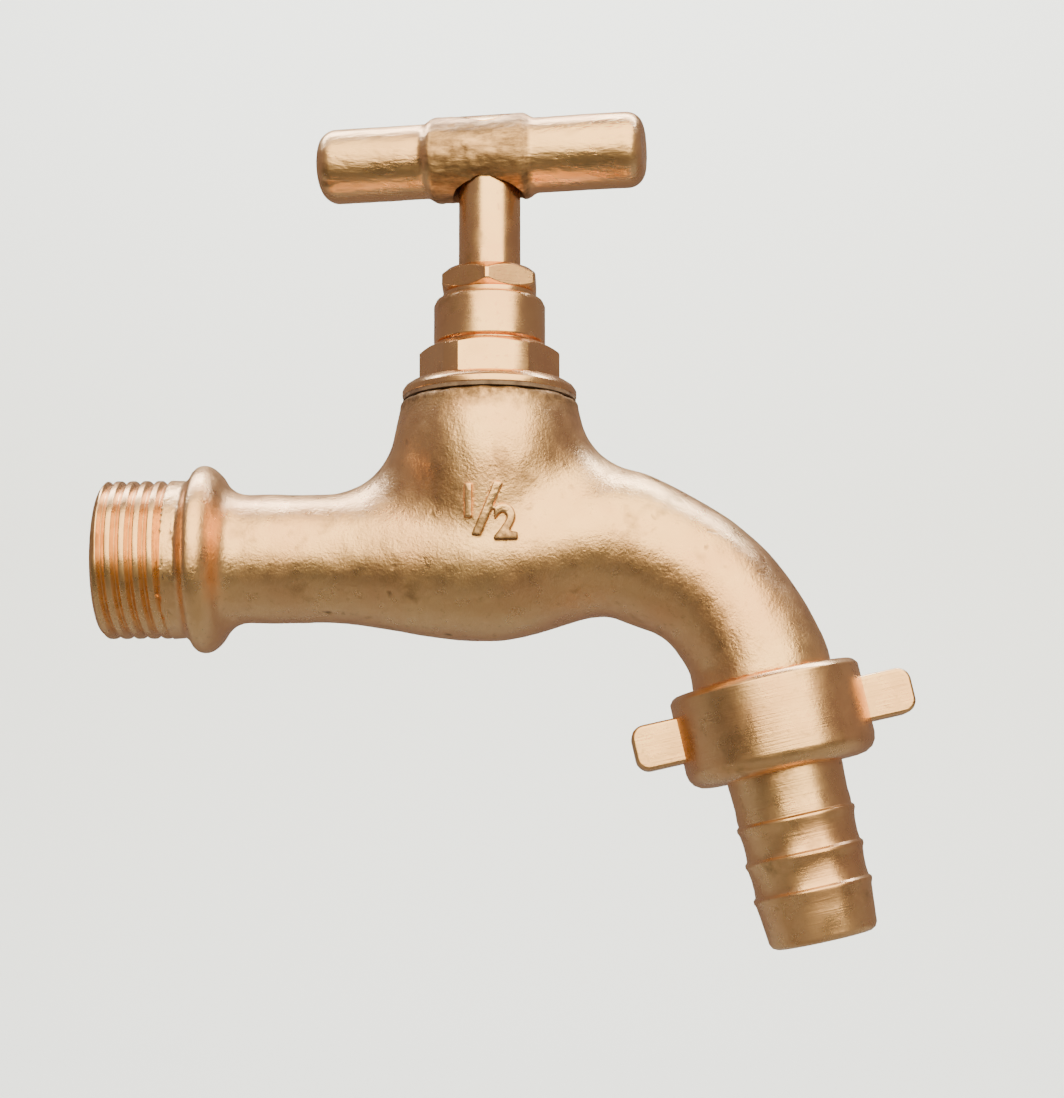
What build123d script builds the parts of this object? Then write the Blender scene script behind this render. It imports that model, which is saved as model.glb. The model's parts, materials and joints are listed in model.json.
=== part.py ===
from build123d import *
import math
import os

# Hose bib with a tee handle, a screw-down valve and a hose union.
# Millimetres. +X runs along the inlet away from the wall and +Z up along the spindle.
# The origin is on the inlet axis, where the inlet thread meets the collar.

# ---- pipe thread (G 1/2), shared by the inlet and the nose ----
thread_major_r = 10.4775
thread_chamfer = 0.9

# ---- inlet ----
inlet_thread_length = 10.6
inlet_bore_r = 6.5
inlet_bore_stop = 15.9
collar_stand = 2.02
collar_rise = 1.7
collar_land = 2.0
collar_shoulder = 1.2
collar_length = 8.6
collar_rise_tangent = (1, 0.8)
collar_foot_tangent = (-1, 0.55)
inlet_tube_r = 8.55

# ---- body casting ----
stem_x = 40.3
neck_top_z = 20.9
neck_top_r = 11.8
neck_top_tangent = (0.15, -1)
neck_belly_r = 12.75
neck_belly_z = 16.0
bowl_top_r = 12.4
bowl_top_z = 9.0
bowl_mid_r = 11.3
bowl_mid_z = 3.0
bowl_bottom_z = -7.0
shoulder_fillet = 9.0
inlet_tube_stop = 24.3
run_overlap = 0.2
# round sections of the bowl: x from the stem axis, z, radius, degrees tilted down
bowl_sections = (
    (-12.3, -0.1, 9.6, 0.0),
    (0.0, 0.0, 11.2, 0.0),
    (9.7, 1.2, 10.9, 8.0),
    (18.7, 1.3, 9.8, 17.0),
)
# round sections of the spout: x short of the nose, height above it, radius, degrees tilted down
spout_sections = (
    (10.3, 13.7, 9.2, 33.0),
    (6.3, 10.95, 8.95, 46.6),
    (2.8, 6.6, 9.0, 63.0),
    (0.9, 3.1, 9.1, 74.0),
)
nose_reach = 35.5
nose_z = -15.6
nose_lean = 12.5
nose_r = 9.2

# ---- waterways ----
seat_z = 4.6
seat_ring_height = 1.2
seat_ring_width = 1.3
seat_ring_root = 0.1
seat_hole_r = 5.2
deck_thickness = 2.6
upper_chamber_r = 9.0
lower_chamber_r = 6.6
lower_chamber_depth = 8.8
lower_chamber_round = 4.5
duct_r = 4.0
duct_drop = 0.2
outlet_bore_r = 6.2
outlet_mouth_r = 5.6
nose_bore_r = 6.6
# centre of the outlet bore beside the valve chamber: x from the stem axis, z, degrees tilted down
outlet_mouth = ((4.2, 9.6, 16.0), (11.7, 6.6, 26.0))

# ---- bonnet ----
bonnet_thread_r = 9.6
bonnet_washer_thickness = 0.5
bonnet_washer_r = 11.5
flange_r = 11.65
flange_height = 1.8
flange_round = 1.2
bonnet_hex_flats = 17.3
bonnet_hex_corner_r = 9.4
bonnet_hex_height = 5.2
bonnet_hex_chamfer = 1.0
bonnet_hex_foot_chamfer = 0.15
hex_cone_slope = 1.7
tower_r = 7.5
tower_chamfer = 1.0

# ---- gland ----
gland_chamber_r = 5.6
gland_chamber_depth = 5.0
packing_height = 2.0
follower_height = 0.8
gland_nut_flats = 12.4
gland_nut_height = 3.3
gland_nut_chamfer = 0.6
gland_nut_corner_off = 0.1
gland_nut_collar_r = 6.3
gland_nut_collar_height = 0.5

# ---- spindle and jumper ----
spindle_r = 4.175
spindle_thread_r = 5.4
spindle_thread_length = 8.0
spindle_thread_chamfer = 0.4
spindle_foot_r = 4.6
spindle_foot_length = 4.6
spindle_end_sunk = 0.35
spindle_end_round = 0.5
valve_lift = 5.0
lift_margin = 0.5
partition_thickness = 2.15
jumper_plate_r = 7.0
jumper_plate_thickness = 2.0
jumper_pin_r = 2.4
jumper_pin_length = 7.0
jumper_stud_r = 1.6
jumper_stud_below_nut = 0.5
seat_washer_r = 6.9
seat_washer_thickness = 3.0
jumper_nut_flats = 5.5
jumper_nut_height = 2.0

# ---- tee handle ----
handle_above_gland = 10.05
handle_length = 44.5
handle_off_centre = 1.2
handle_bar_r = 5.05
handle_end_round = 2.4
handle_boss_length = 13.6
handle_boss_r = 5.85
handle_boss_round = 0.7
handle_hole_slack = 0.275
handle_turned = -8.5
handle_pin_r = 1.25
handle_pin_length = 8.5
handle_pin_sunk = 0.25
handle_pin_hole_extra = 0.5

# ---- union at the nose ----
nut_top = 0.5
union_nut_wall = 2.02
union_nut_height = 12.4
union_nut_chamfer = 0.8
union_nut_foot = 2.6
union_lip_thickness = 2.2
nose_shoulder = 1.0
nose_root = 1.0
nose_chamfer = 0.8
lug_length = 5.95
lug_height = 6.0
lug_below_top = 2.6
lug_thickness = 5.5
lug_round = 1.8
lug_bevel = 0.5
union_washer_thickness = 1.8
union_washer_slack = 0.48
tail_flange_slack = 0.38
tail_flange_thickness = 2.0
tail_neck_r = 7.6
tail_bore_r = 5.0
tail_neck_length = 6.0
barb_count = 3
barb_pitch = 4.65
barb_r = 7.8
barb_root_r = 7.4
barb_land = 0.5
last_barb_length = 6.7
tail_tip_r = 7.0
tail_tip_round = 0.9

# ---- clearances ----
thread_gap = 0.05
running_gap = 0.08
slip_gap = 0.15
pin_gap = 0.02
seat_gap = 0.02

# ---- cutting tools run this far past the faces they cut ----
past = 1.0

# ---- places worked out from the sizes above ----
inlet_face_x = -inlet_thread_length
inlet_bore_end_x = stem_x - inlet_bore_stop
collar_r = thread_major_r + collar_stand
nose_x = stem_x + nose_reach
deck_top_z = seat_z - seat_ring_height
deck_under_z = deck_top_z - deck_thickness
flange_z = neck_top_z + bonnet_washer_thickness
hex_z = flange_z + flange_height
tower_z = hex_z + bonnet_hex_height
stem_hole_r = spindle_r + running_gap
washer_top_z = seat_z + seat_gap + seat_washer_thickness
jumper_top_z = washer_top_z + jumper_plate_thickness
bonnet_foot_z = jumper_top_z + valve_lift + lift_margin
spindle_foot_z = jumper_top_z + seat_gap
spindle_thread_z = spindle_foot_z + spindle_foot_length
spindle_stem_z = spindle_thread_z + spindle_thread_length
drive_bore_top_z = spindle_stem_z + valve_lift + lift_margin
gland_floor_z = drive_bore_top_z + partition_thickness
packing_top_z = gland_floor_z + packing_height
follower_top_z = packing_top_z + follower_height
tower_top_z = gland_floor_z + gland_chamber_depth
gland_hex_z = tower_top_z + gland_nut_collar_height
gland_nut_top_z = gland_hex_z + gland_nut_height
handle_z = gland_nut_top_z + handle_above_gland + handle_boss_r
handle_hole_r = spindle_r + handle_hole_slack
spindle_end_z = handle_z + handle_boss_r - spindle_end_sunk
union_nut_r = thread_major_r + thread_gap + union_nut_wall
lug_reach = union_nut_r + lug_length
union_washer_r = thread_major_r - union_washer_slack
tail_flange_r = thread_major_r - tail_flange_slack
nut_foot = nut_top + union_nut_height
lip_top = nut_foot - union_lip_thickness
flange_top = lip_top - tail_flange_thickness
nose_end = flange_top - union_washer_thickness
first_barb = nut_foot + tail_neck_length
last_barb = first_barb + (barb_count - 1) * barb_pitch
tail_tip = last_barb + last_barb_length

lean = math.radians(nose_lean)
# the nose axis: heights on it grow from the spout's end towards the tail's tip
nose = Plane(
    origin=(nose_x, 0, nose_z),
    x_dir=(math.cos(lean), 0, math.sin(lean)),
    z_dir=(math.sin(lean), 0, -math.cos(lean)),
).location
stem = Location((stem_x, 0, 0))
inlet = Rotation(0, 90, 0)
handle = Location((stem_x, 0, handle_z), (0, 0, handle_turned))


# ---- helpers ----
def turned(outline):
    """A solid of revolution about Z from a closed outline of (radius, height)."""
    return revolve(make_face(Plane.XZ * Wire(outline)), Axis.Z)


def turned_points(*points):
    """A solid of revolution about Z from (radius, height) corners."""
    return revolve(make_face(Plane.XZ * Polyline(*points, close=True)), Axis.Z)


def rod(radius, low, high):
    """A cylinder on Z between two heights."""
    return Pos(0, 0, low) * Cylinder(radius, high - low, align=(Align.CENTER, Align.CENTER, Align.MIN))


def ring(outer, inner, low, high):
    """A flat ring on Z between two heights."""
    return rod(outer, low, high) - rod(inner, low - past, high + past)


def hexagon(flats, low, high, turn):
    """A hexagonal prism on Z, its first corner turned from +X by some degrees."""
    outline = RegularPolygon(flats / 2, 6, major_radius=False, rotation=turn)
    return Pos(0, 0, low) * extrude(outline, high - low)


def chamfered_hexagon(flats, corner_r, low, high, turn, bottom, top):
    """A hexagon turned down to a corner radius, with coned ends of the given heights."""
    envelope = turned_points(
        (0, low),
        (corner_r - bottom * hex_cone_slope, low),
        (corner_r, low + bottom),
        (corner_r, high - top),
        (corner_r - top * hex_cone_slope, high),
        (0, high),
    )
    return hexagon(flats, low, high, turn) & envelope


def run_section(past_stem, z, radius, tilt):
    """A round section of the run, square to a direction tilted down from +X."""
    tilted = math.radians(tilt)
    direction = (math.cos(tilted), 0, -math.sin(tilted))
    return Plane(origin=(stem_x + past_stem, 0, z), x_dir=(0, 1, 0), z_dir=direction) * Circle(radius)


def spout_section(short, above, radius, tilt):
    """A round section of the spout, placed from the nose."""
    return run_section(nose_reach - short, nose_z + above, radius, tilt)


# ---- body casting ----
def inlet_outside():
    """The plain thread cylinder with its chamfer, then the collar that sweeps down to the tube."""
    crest = collar_rise + collar_land
    shoulder = crest + collar_shoulder
    outline = [
        Line((0, inlet_face_x), (thread_major_r - thread_chamfer, inlet_face_x)),
        Line((thread_major_r - thread_chamfer, inlet_face_x), (thread_major_r, inlet_face_x + thread_chamfer)),
        Line((thread_major_r, inlet_face_x + thread_chamfer), (thread_major_r, 0)),
        Line((thread_major_r, 0), (collar_r - collar_rise / 2, 0)),
        TangentArc((collar_r - collar_rise / 2, 0), (collar_r, collar_rise), tangent=collar_rise_tangent),
        Line((collar_r, collar_rise), (collar_r, crest)),
        TangentArc((collar_r, crest), (collar_r - collar_shoulder, shoulder), tangent=(0, 1)),
        Spline(
            (collar_r - collar_shoulder, shoulder),
            (inlet_tube_r, collar_length),
            tangents=(collar_foot_tangent, (0, 1)),
        ),
        Line((inlet_tube_r, collar_length), (0, collar_length)),
        Line((0, collar_length), (0, inlet_face_x)),
    ]
    return inlet * turned(outline)


def run_outside():
    """The cast run from the collar through the valve bowl and down the spout."""
    sections = [
        run_section(collar_length - run_overlap - stem_x, 0, inlet_tube_r, 0),
        run_section(-inlet_tube_stop, 0, inlet_tube_r, 0),
    ]
    sections += [run_section(*place) for place in bowl_sections]
    sections += [spout_section(*place) for place in spout_sections]
    sections.append(spout_section(0, 0, nose_r, 90 - nose_lean))
    return loft(sections)


def neck_outside():
    """The upright neck with its belly, narrowing below into the run."""
    outline = [
        Line((0, neck_top_z), (neck_top_r, neck_top_z)),
        Spline(
            (neck_top_r, neck_top_z),
            (neck_belly_r, neck_belly_z),
            (bowl_top_r, bowl_top_z),
            (bowl_mid_r, bowl_mid_z),
            (0, bowl_bottom_z),
            tangents=(neck_top_tangent, (-1, 0)),
        ),
        Line((0, bowl_bottom_z), (0, neck_top_z)),
    ]
    return stem * turned(outline)


def is_shoulder(edge):
    """True for the line where the neck meets the run, which the casting rounds."""
    box = edge.bounding_box()
    beside_neck = box.min.X > stem_x - 2 * neck_belly_r and box.max.X < stem_x + 2 * neck_belly_r
    return beside_neck and box.max.Z < neck_belly_z and edge.length > neck_belly_r


def nose_outside():
    """The nose under the union nut: a plain thread cylinder with a shoulder and a lead chamfer."""
    start = nut_top + nose_shoulder / 2
    outline = (
        (0, -nose_root),
        (nose_r - nose_root, -nose_root),
        (nose_r - nose_root, 0),
        (nose_r, 0),
        (nose_r, start),
        (thread_major_r, start + nose_shoulder / 2),
        (thread_major_r, nose_end - nose_chamfer),
        (thread_major_r - nose_chamfer, nose_end),
        (0, nose_end),
    )
    return nose * turned_points(*outline)


def outlet_way():
    """The bore from the upper chamber along the spout to the nose's end."""
    sections = [run_section(x, z, outlet_mouth_r, tilt) for x, z, tilt in outlet_mouth]
    sections += [spout_section(x, z, outlet_bore_r, tilt) for x, z, _, tilt in spout_sections]
    sections.append(spout_section(0, 0, outlet_bore_r, 90 - nose_lean))
    return loft(sections) + nose * rod(nose_bore_r, -past, nose_end + past)


def inlet_way():
    """The inlet bore, the lower chamber and the duct between them."""
    bore = inlet * rod(inlet_bore_r, inlet_face_x - past, inlet_bore_end_x)
    chamber = rod(lower_chamber_r, deck_under_z - lower_chamber_depth, deck_under_z)
    floor_edge = chamber.edges().filter_by(GeomType.CIRCLE).sort_by(Axis.Z)[0]
    chamber = stem * fillet(floor_edge, lower_chamber_round)
    duct_start_x = inlet_bore_end_x - duct_r
    duct = inlet * rod(duct_r, duct_start_x, stem_x)
    return bore + chamber + Pos(0, 0, deck_under_z - duct_r - duct_drop) * duct


def upper_chamber():
    """The valve chamber above the deck, and the female thread for the bonnet."""
    chamber = rod(upper_chamber_r, deck_top_z, neck_top_z + past)
    thread = rod(bonnet_thread_r + thread_gap, bonnet_foot_z - past, neck_top_z + past)
    return stem * (chamber + thread)


def tap_body():
    """The body: its outside, its waterways, and the seat with a raised ring."""
    casting = run_outside() + neck_outside()
    casting = fillet([edge for edge in casting.edges() if is_shoulder(edge)], shoulder_fillet)
    casting = casting + inlet_outside() + nose_outside()
    casting = casting - upper_chamber() - inlet_way() - outlet_way()
    casting = casting + stem * rod(seat_hole_r + seat_ring_width, deck_top_z - seat_ring_root, seat_z)
    return casting - stem * rod(seat_hole_r, deck_under_z - past, seat_z + past)


# ---- bonnet and gland ----
def bonnet_washer():
    """The fibre ring between the neck and the bonnet's flange."""
    return stem * ring(bonnet_washer_r, bonnet_thread_r + slip_gap, neck_top_z, flange_z)


def bonnet():
    """The bonnet: threaded foot, flange, hexagon and gland tower, bored for the spindle."""
    foot = rod(bonnet_thread_r, bonnet_foot_z, flange_z)
    flange = rod(flange_r, flange_z, hex_z)
    flange = fillet(flange.edges().filter_by(GeomType.CIRCLE).sort_by(Axis.Z)[-1], flange_round)
    hexagonal = chamfered_hexagon(
        bonnet_hex_flats,
        bonnet_hex_corner_r,
        hex_z,
        tower_z,
        0,
        bonnet_hex_foot_chamfer,
        bonnet_hex_chamfer,
    )
    tower = rod(tower_r, tower_z, tower_top_z)
    tower = chamfer(tower.edges().filter_by(GeomType.CIRCLE).sort_by(Axis.Z)[-1], tower_chamfer)
    outside = foot + flange + hexagonal + tower
    drive_bore = rod(spindle_thread_r + thread_gap, bonnet_foot_z - past, drive_bore_top_z)
    gland_bore = rod(gland_chamber_r, gland_floor_z, tower_top_z + past)
    return stem * (outside - drive_bore - gland_bore - rod(stem_hole_r, 0, tower_top_z))


def gland_packing():
    """The soft packing ring at the bottom of the gland chamber."""
    return stem * ring(gland_chamber_r - pin_gap, spindle_r + pin_gap, gland_floor_z, packing_top_z)


def gland_follower():
    """The brass ring that spreads the nut's push over the packing."""
    return stem * ring(gland_chamber_r - thread_gap, stem_hole_r, packing_top_z, follower_top_z)


def gland_nut():
    """The gland nut: threaded spigot, collar and a chamfered hexagon with a corner to the front."""
    spigot = rod(gland_chamber_r - thread_gap, follower_top_z, tower_top_z)
    collar = rod(gland_nut_collar_r, tower_top_z, gland_hex_z)
    corner_r = gland_nut_flats / math.sqrt(3) - gland_nut_corner_off
    head = chamfered_hexagon(
        gland_nut_flats,
        corner_r,
        gland_hex_z,
        gland_nut_top_z,
        30,
        gland_nut_chamfer,
        gland_nut_chamfer,
    )
    return stem * (spigot + collar + head - rod(stem_hole_r, 0, gland_nut_top_z + past))


# ---- spindle and valve ----
def spindle():
    """The spindle: socketed foot, drive thread as a plain cylinder, and the stem."""
    foot = rod(spindle_foot_r, spindle_foot_z, spindle_thread_z)
    drive = rod(spindle_thread_r, spindle_thread_z, spindle_stem_z)
    drive = chamfer(drive.edges().filter_by(GeomType.CIRCLE), spindle_thread_chamfer)
    upper = rod(spindle_r, spindle_stem_z, spindle_end_z)
    upper = fillet(upper.edges().filter_by(GeomType.CIRCLE).sort_by(Axis.Z)[-1], spindle_end_round)
    socket_top_z = jumper_top_z + jumper_pin_length + slip_gap
    socket = rod(jumper_pin_r + slip_gap, spindle_foot_z - past, socket_top_z)
    return stem * (foot + drive + upper - socket) - handle_pin_hole()


def jumper():
    """The valve disc with its pin up the spindle and its stud through the washer."""
    plate = rod(jumper_plate_r, washer_top_z, jumper_top_z)
    pin = rod(jumper_pin_r, jumper_top_z, jumper_top_z + jumper_pin_length)
    stud_foot_z = seat_z + seat_gap - jumper_nut_height - jumper_stud_below_nut
    return stem * (plate + pin + rod(jumper_stud_r, stud_foot_z, washer_top_z))


def seat_washer():
    """The rubber washer that closes the seat."""
    return stem * ring(seat_washer_r, jumper_stud_r + pin_gap, seat_z + seat_gap, washer_top_z)


def jumper_nut():
    """The small hexagon nut that holds the seat washer on the stud."""
    top_z = seat_z + seat_gap
    nut = hexagon(jumper_nut_flats, top_z - jumper_nut_height, top_z, 0)
    return stem * (nut - rod(jumper_stud_r + pin_gap, top_z - jumper_nut_height - past, top_z + past))


# ---- tee handle ----
def handle_pin_rod(radius, extra):
    """A rod along the handle's Y that enters the boss from behind."""
    outer_y = handle_boss_r - handle_pin_sunk
    inner_y = outer_y - handle_pin_length - extra
    return handle * Rotation(-90, 0, 0) * rod(radius, inner_y, outer_y + extra)


def handle_pin_hole():
    """The blind cross hole for the pin, with its running room."""
    return handle_pin_rod(handle_pin_r + pin_gap, handle_pin_hole_extra)


def tee_handle():
    """The tee bar with its thicker centre boss and the hole for the stem."""
    bar = rod(handle_bar_r, -handle_length / 2, handle_length / 2)
    bar = fillet(bar.edges().filter_by(GeomType.CIRCLE), handle_end_round)
    boss = rod(handle_boss_r, -handle_boss_length / 2, handle_boss_length / 2)
    boss = fillet(boss.edges().filter_by(GeomType.CIRCLE), handle_boss_round)
    tee = handle * Pos(-handle_off_centre, 0, 0) * Rotation(0, 90, 0) * (bar + boss)
    hole = stem * rod(handle_hole_r, handle_z - 2 * handle_boss_r, handle_z + 2 * handle_boss_r)
    return tee - hole - handle_pin_hole()


def handle_pin():
    """The cross pin that ties the handle to the spindle."""
    return handle_pin_rod(handle_pin_r, 0)


# ---- union ----
def union_lugs():
    """The two wing lugs across the nut, with rounded outer corners."""
    top = nut_top + lug_below_top
    bar = Pos(0, 0, top) * Box(
        2 * lug_reach, lug_thickness, lug_height, align=(Align.CENTER, Align.CENTER, Align.MIN)
    )
    bar = fillet(bar.edges().filter_by(Axis.Y), lug_round)
    return chamfer(bar.faces().sort_by(Axis.Y)[0].edges() + bar.faces().sort_by(Axis.Y)[-1].edges(), lug_bevel)


def union_nut():
    """The union nut: wing lugs, female thread as a plain bore, and the lip under the tail."""
    outline = [
        Line((0, nut_top), (union_nut_r - union_nut_chamfer, nut_top)),
        Line((union_nut_r - union_nut_chamfer, nut_top), (union_nut_r, nut_top + union_nut_chamfer)),
        Line((union_nut_r, nut_top + union_nut_chamfer), (union_nut_r, nut_foot - union_nut_foot)),
        TangentArc(
            (union_nut_r, nut_foot - union_nut_foot),
            (union_nut_r - union_nut_foot, nut_foot),
            tangent=(0, 1),
        ),
        Line((union_nut_r - union_nut_foot, nut_foot), (0, nut_foot)),
        Line((0, nut_foot), (0, nut_top)),
    ]
    bore = rod(thread_major_r + thread_gap, nut_top - past, lip_top)
    lip_hole = rod(tail_neck_r + slip_gap, lip_top - past, nut_foot + past)
    return nose * (turned(outline) + union_lugs() - bore - lip_hole)


def union_washer():
    """The sealing ring between the nose and the tail's flange."""
    return nose * ring(union_washer_r, nose_bore_r, nose_end, flange_top)


def hose_tail():
    """The tail: flange inside the nut, neck, three saw-tooth barbs and a rounded tip."""
    points = [(tail_bore_r, flange_top), (tail_flange_r, flange_top), (tail_flange_r, lip_top)]
    points += [(tail_neck_r, lip_top), (tail_neck_r, first_barb - (barb_r - barb_root_r))]
    for number in range(barb_count):
        crest = first_barb + number * barb_pitch
        points += [(barb_r, crest), (barb_r, crest + barb_land)]
        if number < barb_count - 1:
            points.append((barb_root_r, crest + barb_pitch - (barb_r - barb_root_r) / 2))
    points += [(tail_tip_r, tail_tip), (tail_bore_r, tail_tip)]
    tail = turned_points(*points)
    tip_edges = tail.edges().filter_by(GeomType.CIRCLE).group_by(Axis.Z)[-1]
    return nose * fillet(tip_edges, tail_tip_round)


os.makedirs("parts", exist_ok=True)
nodes = {
    "tap_body": tap_body,
    "bonnet_washer": bonnet_washer,
    "bonnet": bonnet,
    "gland_packing": gland_packing,
    "gland_follower": gland_follower,
    "gland_nut": gland_nut,
    "spindle": spindle,
    "jumper": jumper,
    "seat_washer": seat_washer,
    "jumper_nut": jumper_nut,
    "tee_handle": tee_handle,
    "handle_pin": handle_pin,
    "union_nut": union_nut,
    "union_washer": union_washer,
    "hose_tail": hose_tail,
}
for node_name, make in nodes.items():
    export_step(make(), f"parts/{node_name}.step")
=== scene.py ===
# %% [markdown]
# # A brass hose bib, piece by piece
# The tap is a sand casting with machined threads, a turned bonnet and spindle, a cast tee handle,
# and a union nut that holds a barbed hose tail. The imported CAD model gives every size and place.
# This lesson gives each piece its real edges, threads and metal finish around that frame.

# %% Load the frame
import bpy
import bmesh
import json
import math
from mathutils import Matrix, Vector, noise
from mathutils.bvhtree import BVHTree


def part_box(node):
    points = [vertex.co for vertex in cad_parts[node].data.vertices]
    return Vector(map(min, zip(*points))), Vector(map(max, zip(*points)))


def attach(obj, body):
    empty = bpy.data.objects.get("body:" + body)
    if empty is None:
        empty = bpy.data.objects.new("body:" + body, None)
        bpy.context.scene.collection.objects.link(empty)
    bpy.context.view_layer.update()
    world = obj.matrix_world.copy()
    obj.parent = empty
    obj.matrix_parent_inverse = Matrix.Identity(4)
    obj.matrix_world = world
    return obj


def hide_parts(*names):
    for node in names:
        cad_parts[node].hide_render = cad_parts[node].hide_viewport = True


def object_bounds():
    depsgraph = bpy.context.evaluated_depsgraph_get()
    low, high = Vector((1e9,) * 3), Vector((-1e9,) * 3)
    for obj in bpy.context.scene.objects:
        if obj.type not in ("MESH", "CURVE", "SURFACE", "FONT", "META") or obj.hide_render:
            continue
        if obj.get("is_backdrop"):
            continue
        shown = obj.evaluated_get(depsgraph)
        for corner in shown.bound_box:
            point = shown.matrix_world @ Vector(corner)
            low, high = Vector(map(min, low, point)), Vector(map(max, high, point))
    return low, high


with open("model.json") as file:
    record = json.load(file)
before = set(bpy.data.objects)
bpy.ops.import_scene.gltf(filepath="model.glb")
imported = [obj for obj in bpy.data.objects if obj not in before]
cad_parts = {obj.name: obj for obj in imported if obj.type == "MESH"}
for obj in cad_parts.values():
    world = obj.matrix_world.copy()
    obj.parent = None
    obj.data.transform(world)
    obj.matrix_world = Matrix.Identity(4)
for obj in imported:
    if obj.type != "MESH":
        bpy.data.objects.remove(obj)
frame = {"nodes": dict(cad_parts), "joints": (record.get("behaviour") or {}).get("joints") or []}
cad_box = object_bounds()
MM = 0.001

# %% [markdown]
# Two axes carry nearly everything. The stem axis stands upright, and the nose axis leans under the
# spout. Both are joint axes, so the frame gives them exactly and nothing is measured by eye.

# %% Find the axes
def joint(name):
    """The frame's joint of this name."""
    return next(j for j in frame["joints"] if j["name"] == name)


def low(node):
    """A node's lowest corner."""
    return Vector(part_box(node)[0])


def high(node):
    """A node's highest corner."""
    return Vector(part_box(node)[1])


STEM = Vector(joint("handle_turn")["pos_m"])
NOSE = Vector(joint("union_turn")["pos_m"])
NOSE_DOWN = Vector(joint("union_turn")["axis"]).normalized()
LEAN = math.atan2(NOSE_DOWN.x, -NOSE_DOWN.z)
# local Z points down the nose, local X towards the wall and local Y to the back
NOSE_PLACE = Matrix.Translation(NOSE) @ Matrix.Rotation(math.pi - LEAN, 4, "Y").to_4x4()
STEM_PLACE = Matrix.Translation((STEM.x, 0, 0))
INLET_PLACE = Matrix.Rotation(math.pi / 2, 4, "Y")
print("nose leans", round(math.degrees(LEAN), 2), "degrees")
print("nose axis", NOSE_PLACE.to_3x3() @ Vector((0, 0, 1)))

# %% [markdown]
# The camera comes early, because it decides how much detail is worth making. It stands a little
# below the tap and looks up at it, as a person does who crouches to a garden tap.

# %% Camera
VIEW_TURN = math.radians(2.0)
VIEW_RISE = math.radians(-8.0)
VIEW_ROLL = math.radians(0.1)
VIEW_DISTANCE = 0.290
VIEW_TARGET = Vector((0.04593, 0.0, 0.00113))
VIEW_LENS = 72.1

camera_data = bpy.data.cameras.new("camera")
camera_data.lens = VIEW_LENS
camera_data.sensor_width = 36.0
camera_data.clip_start = 0.01
camera = bpy.data.objects.new("camera", camera_data)
bpy.context.collection.objects.link(camera)
back = Vector((
    math.sin(VIEW_TURN) * math.cos(VIEW_RISE),
    -math.cos(VIEW_TURN) * math.cos(VIEW_RISE),
    math.sin(VIEW_RISE),
))
camera.location = VIEW_TARGET + back * VIEW_DISTANCE
look = back.to_track_quat("Z", "Y").to_matrix().to_4x4()
roll = Matrix.Rotation(-VIEW_ROLL, 4, "Z")
camera.matrix_world = Matrix.Translation(camera.location) @ look @ roll
bpy.context.scene.camera = camera
print("camera height", round(camera.location.z, 4))

# %% [markdown]
# Polished metal shows its surroundings more than its own colour. Large soft panels give broad cream
# highlights, and a dark card that lies low in front gives the brown band under every round surface.

# %% Backdrop
FLOOR_Z = -0.088
FLOOR_HALF_WIDTH = 3.0
FLOOR_FRONT = -4.0
SWEEP_BACK = 0.42
SWEEP_HEIGHT = 1.6
SWEEP_ROUND = 0.16


def verts_of(geom):
    """The vertices among a bmesh operator's results."""
    return [g for g in geom if isinstance(g, bmesh.types.BMVert)]


def stage_piece(bm, name, material):
    """An object of the stage, which isn't part of the tap."""
    mesh = bpy.data.meshes.new(name)
    bm.to_mesh(mesh)
    bm.free()
    mesh.shade_smooth()
    mesh.materials.append(material)
    made = bpy.data.objects.new(name, mesh)
    bpy.context.collection.objects.link(made)
    made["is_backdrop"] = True
    return made


def sweep():
    """A floor that curves up into a backdrop, from one extruded strip with a rounded corner."""
    bm = bmesh.new()
    strip = [bm.verts.new((side * FLOOR_HALF_WIDTH, FLOOR_FRONT, FLOOR_Z)) for side in (-1, 1)]
    edge = bm.edges.new(strip)
    for step in ((0, SWEEP_BACK - FLOOR_FRONT, 0), (0, 0, SWEEP_HEIGHT)):
        made = bmesh.ops.extrude_edge_only(bm, edges=[edge])["geom"]
        far_side = verts_of(made)
        bmesh.ops.translate(bm, verts=far_side, vec=step)
        edge = bm.edges.get(far_side)
    corner = [e for e in bm.edges if all(v.co.y > SWEEP_BACK - MM and v.co.z < 0 for v in e.verts)]
    bmesh.ops.bevel(
        bm, geom=corner, offset=SWEEP_ROUND, offset_type="OFFSET", affect="EDGES", segments=16,
        profile=0.5, material=-1
    )
    bmesh.ops.recalc_face_normals(bm, faces=bm.faces)
    paper = bpy.data.materials.new("backdrop_paper")
    paper.use_nodes = True
    shader = paper.node_tree.nodes["Principled BSDF"]
    shader.inputs["Base Color"].default_value = (0.86, 0.85, 0.83, 1)
    shader.inputs["Roughness"].default_value = 0.9
    backdrop = stage_piece(bm, "backdrop", paper)
    backdrop.visible_glossy = False


sweep()
print("backdrop at", SWEEP_BACK, "behind the tap")

# %% [markdown]
# The card is felt that grows paler towards the tap, so the brown band has a soft upper edge. The
# camera never sees it, and it throws no shadow: it only shows in the metal.

# %% Dark card
CARD_SIZE = (1.8, 1.06, 1.0)
CARD_PLACE = (0.045, -0.46, -0.075)
CARD_FADE = (-0.085, -0.045)
CARD_TONES = (0.035, 0.13)


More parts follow.
